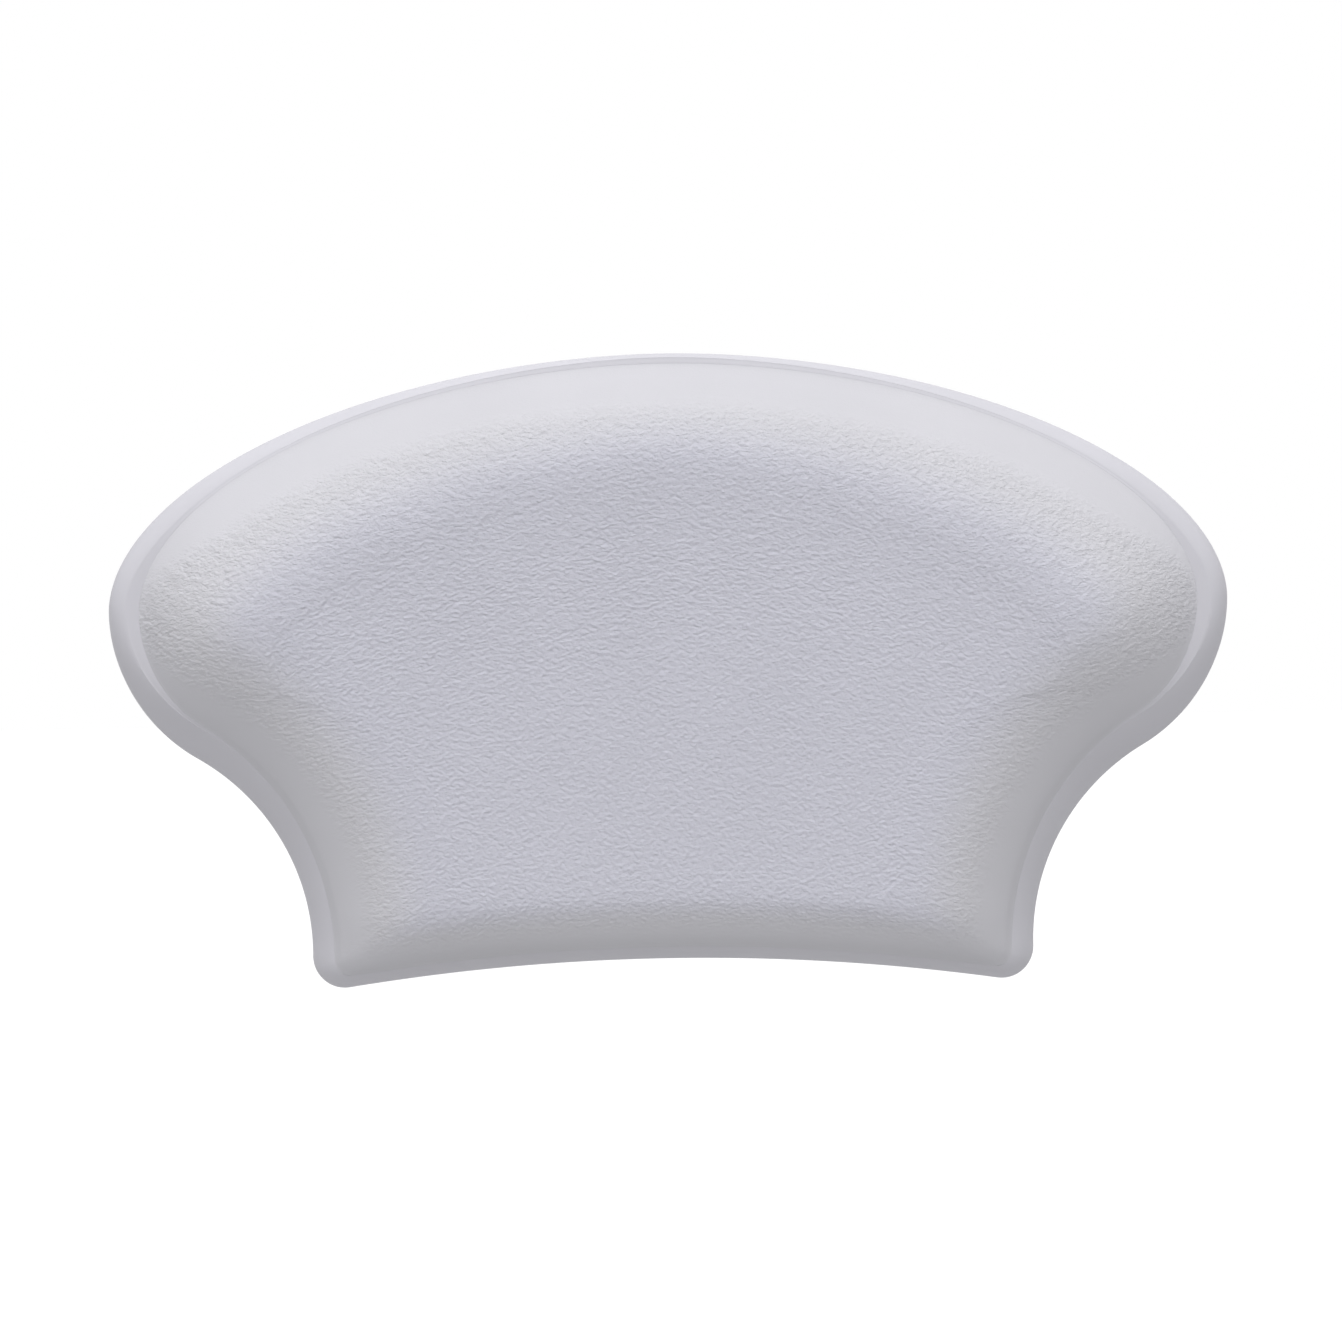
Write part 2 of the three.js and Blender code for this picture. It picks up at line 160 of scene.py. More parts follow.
# a value that changes round the ring, given at a few places of its right half
def aroundRing(at, across, down):
    brow, shoulder, heel = ringPlaces["brow"], ringPlaces["shoulder"], ringPlaces["foot"]
    half = [at["tip"], at["brow"], at["shoulder"]]
    top = ([0, brow, shoulder, 0.5, 1 - shoulder, 1 - brow, 1], [*half, at["crown"], *half[::-1]])
    sidePlaces = ("lobe", "waist", "flank")
    side = ([0, *[ringPlaces[n] for n in sidePlaces], 1], [at[n] for n in ("tip", *sidePlaces, "corner")])
    foot = ([0, heel, 1 - heel, 1], [at["corner"], at["foot"], at["foot"], at["corner"]])
    alongTop = np.linspace(0, 1, across, endpoint=False)
    alongSide = np.linspace(0, 1, down, endpoint=False)
    rows = [np.interp(alongTop, *top), np.interp(alongSide, *side)]
    rows += [np.interp(alongTop, *foot), np.interp(1 - alongSide, *side)]
    ring = np.concatenate(rows)
    reach = len(ring) // ringBlend
    bell = np.hanning(2 * reach + 3)[1:-1]
    return np.convolve(np.concatenate([ring[-reach:], ring, ring[:reach]]), bell / bell.sum(), "valid")


# mesh helpers


def atDepth(ring, depth):  # outline points to places in metres, at a depth in front of the seat plane
    return np.stack([ring[:, 0], -np.broadcast_to(depth, len(ring)), ring[:, 1]], axis=1) * mm


def between(first, second, share):
    share = np.broadcast_to(share, len(first))[:, None]
    return first * (1 - share) + second * share


def bandFaces(first, second, count):  # quads between two rings that start at these indices
    i = np.arange(count)
    j = (i + 1) % count
    return np.stack([first + i, first + j, second + j, second + i], axis=1).tolist()


def addObject(name, data):
    added = bpy.data.objects.new(name, data)
    scene.collection.objects.link(added)
    return added


def makePiece(name, points, faces, sharpAngle=None):
    mesh = bpy.data.meshes.new(name)
    mesh.from_pydata(np.asarray(points).tolist(), [], faces)
    work = bmesh.new()
    work.from_mesh(mesh)
    bmesh.ops.recalc_face_normals(work, faces=work.faces)
    work.to_mesh(mesh)
    work.free()
    mesh.shade_smooth()
    if sharpAngle:
        mesh.set_sharp_from_angle(angle=math.radians(sharpAngle))
    return addObject(name, mesh)


def bakeModifiers(piece):  # evaluated result back to a plain mesh
    depsgraph = bpy.context.evaluated_depsgraph_get()
    mesh = bpy.data.meshes.new_from_object(piece.evaluated_get(depsgraph), depsgraph=depsgraph)
    piece.modifiers.clear()
    old = piece.data
    piece.data = mesh
    bpy.data.meshes.remove(old)
    mesh.name = piece.name


def dropPiece(piece):
    mesh = piece.data
    bpy.data.objects.remove(piece)
    bpy.data.meshes.remove(mesh)


def fillLoops(loops, index):  # triangles of a flat region: outer loop first, then its holes
    flat = [[Vector((x, z, 0)) for x, z in loop] for loop in loops]
    return [[index[i] for i in triangle] for triangle in tessellate_polygon(flat)]


# node helpers, for geometry and shader trees alike


def put(tree, kind, inputs=None, **settings):
    node = tree.nodes.new(kind)
    for name, value in settings.items():
        setattr(node, name, value)
    for name, value in (inputs or {}).items():
        if isinstance(value, bpy.types.NodeSocket):
            tree.links.new(value, node.inputs[name])
        else:
            node.inputs[name].default_value = value
    return node


def calc(tree, operation, a, b=0.0):
    return put(tree, "ShaderNodeMath", {0: a, 1: b}, operation=operation).outputs[0]


def newTree(name, socketType, labels):  # a geometry tree with named inputs, and their identifiers
    tree = bpy.data.node_groups.new(name, "GeometryNodeTree")
    sides = tree.interface
    sides.new_socket("Geometry", in_out="INPUT", socket_type="NodeSocketGeometry")
    made = {n: sides.new_socket(n, in_out="INPUT", socket_type=socketType) for n in labels}
    sockets = {n: socket.identifier for n, socket in made.items()}
    sides.new_socket("Geometry", in_out="OUTPUT", socket_type="NodeSocketGeometry")
    return tree, sockets, put(tree, "NodeGroupInput").outputs


def applyTree(piece, tree, geometry, finish, values):  # values by socket identifier
    whole = put(tree, "GeometryNodeRealizeInstances", {0: geometry})
    painted = put(tree, "GeometryNodeSetMaterial", {"Geometry": whole.outputs[0], "Material": finish})
    put(tree, "NodeGroupOutput", {0: painted.outputs[0]})
    modifier = piece.modifiers.new(tree.name, "NODES")
    modifier.node_group = tree
    for identifier, value in values.items():
        modifier[identifier] = value
    bakeModifiers(piece)


# leather grain: short wandering ridges, the same pattern as relief, as fine bump and as painted shade in
# its creases

grainForm = {
    "height": 0.45,  # mm, of the whole swing
    "ridge": 0.62,  # mm
    "stretch": 1.6,  # the ridges run across
    "detail": 0.8,
    "wander": 0.4,
    "seed": 7.0,
}


def grainPattern(tree, position, ridge, stretch, detail, wander, seed):
    part = put(tree, "ShaderNodeSeparateXYZ", {0: position}).outputs
    across = calc(tree, "DIVIDE", part["X"], stretch)
    flat = put(tree, "ShaderNodeCombineXYZ", {"X": across, "Z": part["Z"]}).outputs[0]
    inputs = {"Vector": flat, "W": seed, "Scale": calc(tree, "DIVIDE", 1.0, ridge), "Detail": detail,
              "Roughness": 0.5, "Distortion": wander}
    return put(tree, "ShaderNodeTexNoise", inputs, noise_dimensions="4D").outputs[0]


def pressGrain(piece, finish):
    sizes = {name.capitalize(): size for name, size in grainForm.items()}
    sizes["Height"] *= mm
    sizes["Ridge"] *= mm
    tree, sockets, given = newTree("leatherGrain", "NodeSocketFloat", sizes)
    position = put(tree, "GeometryNodeInputPosition").outputs[0]
    pattern = grainPattern(tree, position, *[given[n] for n in sizes if n != "Height"])
    relief = calc(tree, "SUBTRACT", pattern, 0.5)  # the pattern swings about this
    mask = put(tree, "GeometryNodeInputNamedAttribute", {"Name": "grain"}, data_type="FLOAT")
    height = calc(tree, "MULTIPLY", relief, given["Height"])
    lift = calc(tree, "MULTIPLY", height, mask.outputs["Attribute"])
    normal = put(tree, "GeometryNodeInputNormal").outputs[0]
    offset = put(tree, "ShaderNodeVectorMath", {0: normal, "Scale": lift}, operation="SCALE").outputs[0]
    shifted = put(tree, "GeometryNodeSetPosition", {"Geometry": given["Geometry"], "Offset": offset})
    values = {identifier: sizes[name] for name, identifier in sockets.items()}
    applyTree(piece, tree, shifted.outputs[0], finish, values)


# the crowned face: it rolls up from the groove over a width that changes round the edge

faceForm = {
    "grooveLevel": 19.2,
    "riseMid": 14.2,  # height of the face over the groove, halfway across
    "riseWing": 19.5,  # and at the sides
    "footWall": 7.2,  # steep start at the foot edge
    "wallRound": 1.2,
    "softStart": 0.006,  # share of the roll-off that curves out of the groove
    "roundPower": 2.6,  # of the even curve
    "notchWidth": 1.7,  # on the pad's side of the groove
    "skin": 2.0,  # thickness
    "overlap": 0.06,  # the edge lies on the tray's lip
    "lift": 0.03,  # this much above it
    "tuck": 0.1,  # from the groove down to the top of the skirt
    "clearance": 0.3,  # between the skirt and the tray
    "hem": 10.6,  # depth of the skin's lower edge
    "crowding": 1.3,  # above 1 the mesh's rings lie closer at the groove
    "relax": 10,  # rounds of smoothing
    "relaxShare": 0.5,
    "heldRings": 4,  # rings at the groove that aren't smoothed
}
faceRoll = {
    # width of the roll-off, in mm from the groove
    "width": {"tip": 35.0, "brow": 35.0, "shoulder": 33.5, "crown": 26.0, "lobe": 32.0, "waist": 33.0,
              "flank": 31.0, "corner": 27.0, "foot": 14.5},
    # from a straight slope to an even curve
    "round": {"tip": 0.0, "brow": 0.0, "shoulder": 0.0, "crown": 0.0, "lobe": 0.6, "waist": 1.0,
              "flank": 1.0, "corner": 0.9, "foot": 0.0},
    # depth of the groove below its level, along the sides
    "notch": {"tip": 0.0, "brow": 0.0, "shoulder": 0.0, "crown": 0.0, "lobe": 0.0, "waist": 1.3,
              "flank": 1.7, "corner": 1.3, "foot": 0.0},
    # where the grain starts, in mm from the groove
    "grain": {"tip": -6.0, "brow": 7.0, "shoulder": 7.6, "crown": 7.4, "lobe": 4.5, "waist": 6.0,
              "flank": 7.0, "corner": 4.5, "foot": 1.8},
}
# the grain fades in over some mm, and is stronger to the top and the sides
grainMask = {"fade": 7.0, "least": 0.88, "top": 0.4, "wing": 0.6, "from": -20.0, "to": 70.0}
frontLightTintSpan = {"from": 0.4, "to": 0.92}  # shares of the roll-off over which its tone turns into the middle's bluer tone, painted bluish light on the front-facing middle
edgeAcross, edgeDown = 1600, 700  # points of the groove outline that distances are taken from


def edgeTree(ring, places):
    tree = KDTree(len(places))
    for i in places:
        tree.insert((*ring[i], 0), int(i))
    tree.balance()
    return tree


def makeEdgeTrees():  # the foot, and the rest of the groove outline
    ring = fanRing(grooveForm, edgeAcross, edgeDown)
    footStart = edgeAcross + edgeDown
    foot = np.arange(footStart, footStart + edgeAcross)
    return edgeTree(ring, foot), edgeTree(ring, np.setdiff1d(np.arange(len(ring)), foot))


footEdge, restEdge = makeEdgeTrees()


def fromEdge(tree, points):  # distance of each point and the nearest place on the outline
    found = [tree.find((x, z, 0)) for x, z in points]
    return np.array([f[2] for f in found]), np.array([f[1] for f in found])


def atEdge(name):  # a value of faceRoll at each point of the groove outline
    return aroundRing(faceRoll[name], edgeAcross, edgeDown)


def wingShare(points):  # 0 in the middle, 1 at the sides of the crest
    return (points[:, 0] / crestForm["half"]) ** 2


def softStep(share):
    share = np.clip(share, 0, 1)
    return share * share * (3 - 2 * share)


def rollUp(share, roundness=0.0):  # steep out of the groove, level at the crest
    start = faceForm["softStart"]
    share = np.clip(share, 0, 1)
    share = np.minimum(share * share / (share + start) * (1 + start), 1)
    straight = (45 * share - 18 * share**5 + 5 * share**9) / 32  # its slope falls as (1 - share^4)^2
    even = 1 - (1 - share) ** faceForm["roundPower"]
    return straight * (1 - roundness) + even * roundness


def padRise(points):
    toRest, place = fromEdge(restEdge, points)
    toFoot, _ = fromEdge(footEdge, points)
    rise = faceForm["riseMid"] + (faceForm["riseWing"] - faceForm["riseMid"]) * wingShare(points)
    wall = faceForm["footWall"] / faceForm["riseMid"]
    steep = wall * (1 - np.exp(-toFoot / faceForm["wallRound"]))
    foot = steep + (1 - wall) * rollUp(toFoot / faceRoll["width"]["foot"])
    return rise * rollUp(toRest / atEdge("width")[place], atEdge("round")[place]) * foot


def sunkEdge(points):  # how far the pad's edge goes down into the groove
    toRest, place = fromEdge(restEdge, points)
    toFoot, footPlace = fromEdge(footEdge, points)
    depth = atEdge("notch")[np.where(toFoot < toRest, footPlace, place)]
    return depth * (1 - softStep(np.minimum(toRest, toFoot) / faceForm["notchWidth"]))


def faceMasks(points):  # where the grain shows, and where the middle's bluer tone, painted bluish light on the front-facing middle, does
    toRest, place = fromEdge(restEdge, points)
    toFoot, footPlace = fromEdge(footEdge, points)
    begin = atEdge("grain")
    inside = np.minimum(toRest - begin[place], toFoot - begin[footPlace])
    height = softStep((points[:, 1] - grainMask["from"]) / (grainMask["to"] - grainMask["from"]))
    gain = grainMask["least"] + height * (grainMask["top"] + grainMask["wing"] * wingShare(points))
    share = np.minimum(toRest / atEdge("width")[place], toFoot / faceRoll["width"]["foot"])
    middle = softStep((share - frontLightTintSpan["from"]) / (frontLightTintSpan["to"] - frontLightTintSpan["from"]))
    return {"grain": gain * softStep(inside / grainMask["fade"]), "middle": middle}


def addMask(mesh, name, values):
    mesh.attributes.new(name, "FLOAT", "POINT").data.foreach_set("value", values.astype(np.float32))


def readMask(mesh, name):
    values = np.empty(len(mesh.vertices), dtype=np.float32)
    mesh.attributes[name].data.foreach_get("value", values)
    return values


def relaxed(rise, faces, count):  # evened out, held at the groove
    quads = np.array(faces)
    a, b = quads.ravel(), np.roll(quads, -1, axis=1).ravel()
    total = len(rise)
    near = np.bincount(a, minlength=total) + np.bincount(b, minlength=total)
    held = faceForm["heldRings"] * count
    for _ in range(faceForm["relax"]):
        mean = (np.bincount(a, rise[b], total) + np.bincount(b, rise[a], total)) / near
        rise[held:] += faceForm["relaxShare"] * (mean - rise)[held:]
    return rise


# rings from the groove to the crest outline, and a grid inside that
def crownedFace(inset, across, down, steps):
    edge = fanRing(drawInEvenly(grooveForm, inset), across, down)
    crest = fanRing(crestForm, across, down)
    count = len(edge)
    shares = np.linspace(0, 1, steps + 1) ** faceForm["crowding"]
    flat = [between(edge, crest, share) for share in shares]
    faces = []
    for step in range(steps):
        faces += bandFaces(step * count, (step + 1) * count, count)
    # the grid is blended from the four sides of the crest outline
    closed = np.concatenate([crest, crest[:1]])
    topRow = closed[: across + 1]
    rightRow = closed[across : across + down + 1]
    footRow = closed[across + down : 2 * across + down + 1][::-1]
    leftRow = closed[2 * across + down :][::-1]
    u = np.linspace(0, 1, across + 1)[None, :, None]
    v = np.linspace(0, 1, down + 1)[:, None, None]
    grid = (1 - v) * topRow[None] + v * footRow[None]
    grid = grid + (1 - u) * leftRow[:, None] + u * rightRow[:, None]
    grid -= (1 - v) * ((1 - u) * topRow[0] + u * topRow[-1])
    grid -= v * ((1 - u) * footRow[0] + u * footRow[-1])
    grid = grid[1:-1, 1:-1].reshape(-1, 2)
    first = steps * count
    index = np.empty((down + 1, across + 1), dtype=int)
    index[0] = first + np.arange(across + 1)
    index[1:, -1] = first + across + 1 + np.arange(down)
    index[-1, :-1] = first + (across + down + 1 + np.arange(across))[::-1]
    index[1:-1, 0] = first + (2 * across + down + 1 + np.arange(down - 1))[::-1]
    index[1:-1, 1:-1] = first + count + np.arange(len(grid)).reshape(down - 1, across - 1)
    quads = np.stack([index[:-1, :-1], index[:-1, 1:], index[1:, 1:], index[1:, :-1]], axis=-1)
    faces += quads.reshape(-1, 4).tolist()
    outline = np.concatenate(flat + [grid])
    rise = relaxed(padRise(outline), faces, count)
    if inset < 0:  # the outer face goes down into the notch
        rise -= sunkEdge(outline)
    return outline, faceForm["grooveLevel"] + rise - max(inset, -faceForm["lift"]), faces, count


def boundaryRing(mesh):  # open edge of a mesh in order, clockwise from the left
    work = bmesh.new()
    work.from_mesh(mesh)
    work.verts.ensure_lookup_table()
    following = {}
    for edge in work.edges:
        if edge.is_boundary:
            for here, there in (edge.verts, reversed(edge.verts)):
                following.setdefault(here.index, []).append(there.index)
    first = min(following, key=lambda i: work.verts[i].co.x)
    ring = [first, max(following[first], key=lambda i: work.verts[i].co.z)]
    while True:
        nextOne = [i for i in following[ring[-1]] if i != ring[-2]][0]
        if nextOne == first:
            break
        ring.append(nextOne)
    work.free()
    return np.array(ring)


def makeFaceSkin(across=96, down=72, steps=18, liningSteps=6):
    outline, level, faces, count = crownedFace(-faceForm["overlap"], across, down, steps)
    front = makePiece("front", atDepth(outline, level), faces)
    masks = faceMasks(outline)
    for name, mask in masks.items():
        addMask(front.data, name, mask)
    finer = front.modifiers.new("finer", "SUBSURF")
    finer.levels = finer.render_levels = 2
    bakeModifiers(front)
    mesh = front.data
    points = np.empty(len(mesh.vertices) * 3)
    mesh.vertices.foreach_get("co", points)
    points = points.reshape(-1, 3)
    masks = {name: readMask(mesh, name) for name in masks}
    faces = [list(p.vertices) for p in mesh.polygons]
    ring = boundaryRing(mesh)
    dropPiece(front)
    # hem: down the tray wall, across, and up to the lining under the face
    skirt = fanRing(drawInEvenly(grooveForm, faceForm["clearance"]), across, down)
    inset = faceForm["clearance"] + faceForm["skin"]
    lining, level, liningFaces, count = crownedFace(inset, across, down, liningSteps)
    hem = atDepth(fanRing(drawInEvenly(grooveForm, inset), across, down), faceForm["hem"])
    under = faceForm["grooveLevel"] - faceForm["tuck"] - aroundRing(faceRoll["notch"], across, down)
    rows = [atDepth(skirt, under), atDepth(skirt, faceForm["hem"]), hem]
    start = len(points)
    points = np.concatenate([points] + rows + [atDepth(lining, level)])
    per = len(ring) // count  # points of the fine edge to each of the hem
    for i in range(count):
        edgePart = [ring[(per * i + k) % len(ring)] for k in range(per + 1)]
        faces.append(edgePart + [start + (i + 1) % count, start + i])
    for row in range(len(rows)):
        faces += bandFaces(start + row * count, start + (row + 1) * count, count)
    faces += (np.array(liningFaces) + start + len(rows) * count).tolist()
    piece = makePiece("faceSkin", points, faces, sharpAngle=60)
    for name, mask in masks.items():
        addMask(piece.data, name, np.pad(mask, (0, len(points) - len(mask))))
    return piece


# back tray: seat face, wall, rolled rim, cavity for the skin and the core

trayForm = {
    "floor": 5.0,  # depths in front of the seat plane
    "rim": 20.0,
    "seatInset": 4.0,  # rounded edge between the seat face and the wall
    "seatDepth": 5.0,
    "margin": 0.5,  # flat band round the seat face and its holes, keeps their shading even
    "collarHole": 10.3,  # radii of the pin holes
    "collarDepth": 2.6,
    "spigotHole": 5.3,
    "bevel": 0.5,
    "bevelMiddle": 0.3,  # share of the bevel
    "holePoints": 64,
}
rimRoll = {
    # depth over which the rim rolls
    "depth": {"tip": 8.0, "brow": 8.0, "shoulder": 8.0, "crown": 8.0, "lobe": 14.0, "waist": 14.5,
              "flank": 14.0, "corner": 12.0, "foot": 11.0},
    # how far the roll goes towards the groove
    "reach": {"tip": 0.5, "brow": 0.86, "shoulder": 0.8, "crown": 0.42, "lobe": 0.88, "waist": 1.0,
              "flank": 1.0, "corner": 1.0, "foot": 1.0},
    # how near to flat it gets
    "flat": {"tip": 0.97, "brow": 0.55, "shoulder": 0.4, "crown": 0.87, "lobe": 0.4, "waist": 0.55,
             "flank": 0.7, "corner": 0.62, "foot": 0.45},
    # below 1 it leans in sooner
    "lean": {"tip": 1.0, "brow": 1.0, "shoulder": 1.0, "crown": 1.0, "lobe": 0.65, "waist": 0.6,
             "flank": 0.7, "corner": 0.75, "foot": 0.8},
    # dip of the strip between the roll and the groove, below 0 it rises
    "dip": {"tip": 0.08, "brow": -0.3, "shoulder": -0.28, "crown": -0.35, "lobe": -0.6, "waist": 0.0,
            "flank": 0.0, "corner": 0.0, "foot": 0.0},
}
pinPlaces = {"upper": 85.0, "lower": 55.0, "row": 35.0}  # half pitches
stations = [(-pinPlaces["upper"], pinPlaces["row"]), (pinPlaces["upper"], pinPlaces["row"]),
            (-pinPlaces["lower"], -pinPlaces["row"]), (pinPlaces["lower"], -pinPlaces["row"])]


def circleRow(x, z, radius, count):
    angle = np.linspace(0, 2 * math.pi, count, endpoint=False)
    return np.stack([x + radius * np.cos(angle), z + radius * np.sin(angle)], axis=1)


def holeProfile():  # radius and depth of a pin hole, from the seat face to the cavity floor
    form = trayForm
    mouth = form["collarHole"] + form["bevel"]
    middle = form["bevelMiddle"] * form["bevel"]
    return [
        (mouth + form["margin"], 0.0),
        (mouth, 0.0),
        (form["collarHole"] + middle, middle),
        (form["collarHole"], form["bevel"]),
        (form["collarHole"], form["collarDepth"]),
        (form["spigotHole"], form["collarDepth"]),
        (form["spigotHole"], form["floor"]),
    ]


def makeBackTray(across=320, down=128, seatSteps=8, rollSteps=15, stripSteps=8, wallSteps=3):
    form = trayForm
    rim = fanRing(rimForm, across, down)
    groove = fanRing(grooveForm, across, down)
    seat = fanRing(drawInEvenly(rimForm, form["seatInset"]), across, down)
    inner = fanRing(drawInEvenly(rimForm, form["seatInset"] + form["margin"]), across, down)
    count = len(rim)
    roll = {name: aroundRing(at, across, down) for name, at in rimRoll.items()}
    reach, dip, turn = roll["reach"], roll["dip"], roll["flat"] * math.pi / 2
    top = faceForm["grooveLevel"] + dip - aroundRing(faceRoll["notch"], across, down)
    rollStart = form["rim"] - roll["depth"]
    rows = [atDepth(inner, 0.0)]
    for angle in np.linspace(0, math.pi / 2, seatSteps + 1):
        depth = form["seatDepth"] * (1 - math.cos(angle))
        rows.append(atDepth(between(seat, rim, math.sin(angle)), depth))
    for part in np.linspace(0, 1, rollSteps + 1):
        share = reach * ((1 - np.cos(part * turn)) / (1 - np.cos(turn))) ** roll["lean"]
        level = rollStart + (top - rollStart) * np.sin(part * turn) / np.sin(turn)
        rows.append(atDepth(between(rim, groove, share), level))
    for part in np.linspace(0, 1, stripSteps + 1)[1:]:
        share = reach + (1 - reach) * part
        rows.append(atDepth(between(rim, groove, share), top - dip * softStep(part)))
    for depth in np.linspace(faceForm["grooveLevel"], form["floor"], wallSteps + 1)[1:]:
        rows.append(atDepth(groove, depth))
    points = np.concatenate(rows)
    faces = []
    for row in range(len(rows) - 1):
        faces += bandFaces(row * count, (row + 1) * count, count)
    # seat face and cavity floor, both pierced for the pins
    profile = holeProfile()
    perHole = form["holePoints"]
    seatLoops, floorLoops = [inner], [groove]
    seatIndex, floorIndex = list(range(count)), list(range(len(points) - count, len(points)))
    for x, z in stations:
        first = len(points)
        circles = [circleRow(x, z, radius, perHole) for radius, depth in profile]
        sunk = [atDepth(circle, depth) for circle, (radius, depth) in zip(circles, profile)]
        points = np.concatenate([points] + sunk)
        for step in range(len(profile) - 1):
            faces += bandFaces(first + perHole * step, first + perHole * (step + 1), perHole)
        seatLoops.append(circles[0])
        floorLoops.append(circles[-1])
        seatIndex += list(range(first, first + perHole))
        floorIndex += list(range(len(points) - perHole, len(points)))
    faces += fillLoops(seatLoops, seatIndex) + fillLoops(floorLoops, floorIndex)
    return makePiece("backTray", points, faces, sharpAngle=35)


coreForm = {
    "clearance": 1.1,  # under the skin
    "pocket": 6.3,  # over each screw head
    "pocketDepth": 14.8,
    "pocketPoints": 32,
}


def makeFoamCore(across=104, down=42, steps=14):
    inset = faceForm["clearance"] + faceForm["skin"] + coreForm["clearance"]
    outline, level, faces, count = crownedFace(inset, across, down, steps)
    edge = outline[:count]
    back = faceForm["hem"]
    start = len(outline)
    points = np.concatenate([atDepth(outline, level), atDepth(edge, back)])
    faces += bandFaces(0, start, count)
    loops, index = [edge], list(range(start, start + count))
    perPocket = coreForm["pocketPoints"]
    for x, z in stations:
        circle = circleRow(x, z, coreForm["pocket"], perPocket)
        mouth = len(points)
        end = mouth + perPocket
        points = np.concatenate([points, atDepth(circle, back), atDepth(circle, coreForm["pocketDepth"])])
        faces += bandFaces(mouth, end, perPocket)
        faces.append(list(range(end, end + perPocket)))
        loops.append(circle)
        index += list(range(mouth, end))
    faces += fillLoops(loops, index)
    return makePiece("foamCore", points, faces, sharpAngle=50)


# turned pieces about the Y axis, from rows of (radius, depth)


def turnedPiece(name, profile, count, ring=False):
    points, faces, starts = [], [], []
    for radius, depth in profile:
        starts.append(len(points))
        if radius:
            points += atDepth(circleRow(0, 0, radius, count), depth).tolist()
        else:
            points.append((0, -depth * mm, 0))
    pairs = list(zip(range(len(profile)), range(1, len(profile))))
    if ring:
        pairs.append((len(profile) - 1, 0))
    for a, b in pairs:
        if profile[a][0] and profile[b][0]:
            faces += bandFaces(starts[a], starts[b], count)
        else:
            pole, rim = (starts[b], starts[a]) if profile[a][0] else (starts[a], starts[b])
            faces += [[pole, rim + i, rim + (i + 1) % count] for i in range(count)]
    return makePiece(name, points, faces, sharpAngle=35)


def boxPiece(name, size, centre):
    work = bmesh.new()
    bmesh.ops.create_cube(work, size=1.0)
    bmesh.ops.scale(work, verts=work.verts, vec=[s * mm for s in size])
    bmesh.ops.translate(work, verts=work.verts, vec=[c * mm for c in centre])
    mesh = bpy.data.meshes.new(name)
    work.to_mesh(mesh)
    work.free()
    return addObject(name, mesh)


def crossedBoxes(name, length, depth, width, middle):  # two bars at right angles, about the Y axis
    return [boxPiece(name + "Across", (length, depth, width), (0, middle, 0)),
            boxPiece(name + "Up", (width, depth, length), (0, middle, 0))]


def cutAway(piece, cutters, bevel=0.0, bevelAngle=40, sharpAngle=35):
    for cutter in cutters:
        cut = piece.modifiers.new("cut", "BOOLEAN")
        cut.operation = "DIFFERENCE"
        cut.solver = "EXACT"
        cut.object = cutter
    if bevel:
        soften = piece.modifiers.new("soften", "BEVEL")
        soften.width = bevel * mm
        soften.segments = 2
        soften.limit_method = "ANGLE"
        soften.angle_limit = math.radians(bevelAngle)
    bakeModifiers(piece)
    for cutter in cutters:
        dropPiece(cutter)
    piece.data.shade_smooth()
    piece.data.set_sharp_from_angle(angle=math.radians(sharpAngle))


pinForm = {
    "tip": [(0, -16.0), (2.3, -16.0), (2.8, -15.6)],
    "barb": [(5.15, -9.2), (5.3, -8.7), (5.3, -7.9), (5.05, -7.6)],
    "neck": [(4.15, -6.6), (4.0, -6.3), (4.0, -0.2), (4.5, 0.3)],
    "collar": [(9.6, 0.3), (10.0, 0.7), (10.0, 1.9), (9.6, 2.3)],
    "spigot": [(5.0, 2.3), (5.0, 7.1), (4.6, 7.5), (0, 7.5)],
    "pilot": [(0, -2.2), (2.3, -2.2), (2.3, 8.5), (0, 8.5)],  # bore for the screw
    "slot": {"length": 14.0, "depth": 13.6, "width": 1.8, "middle": 11.2},
    "bevel": 0.12,  # of the cut edges
}


def makePinShape():
    profile = [row for part in ("tip", "barb", "neck", "collar", "spigot") for row in pinForm[part]]
    body = turnedPiece("pinShape", profile, count=48)
    bore = turnedPiece("pilot", pinForm["pilot"], count=32)
    cutAway(body, [bore] + crossedBoxes("slot", **pinForm["slot"]), pinForm["bevel"])
    return body


washerForm = {"bore": 2.3, "radius": 6.0, "back": 10.6, "front": 11.6, "boreEase": 0.1, "ease": 0.15}


def makeWasherShape():
    bore, radius, back, front = [washerForm[n] for n in ("bore", "radius", "back", "front")]
    inner, outer = washerForm["boreEase"], washerForm["ease"]
    profile = [(bore, back + inner), (bore + inner, back), (radius - outer, back), (radius, back + outer)]
    profile += [(radius, front - outer), (radius - outer, front), (bore + inner, front),
                (bore, front - inner)]
    return turnedPiece("washerShape", profile, count=48, ring=True)


screwForm = {
    "point": [(0, -1.9), (0.9, -1.9), (1.5, -1.2)],
    "root": 1.55,  # radii of the thread
    "crest": 1.98,
    "pitch": 0.7,
    "turns": 11,
    "threadStart": -0.8,
    "shank": [(1.6, 6.9), (2.0, 7.3), (2.0, 11.7)],
    "head": [(2.3, 11.9), (3.9, 11.9), (4.0, 12.05), (4.0, 13.0), (3.75, 13.7), (3.2, 14.2),
             (2.2, 14.45), (0, 14.5)],
    "cross": {"length": 4.2, "depth": 3.0, "width": 0.9, "middle": -14.3},
}


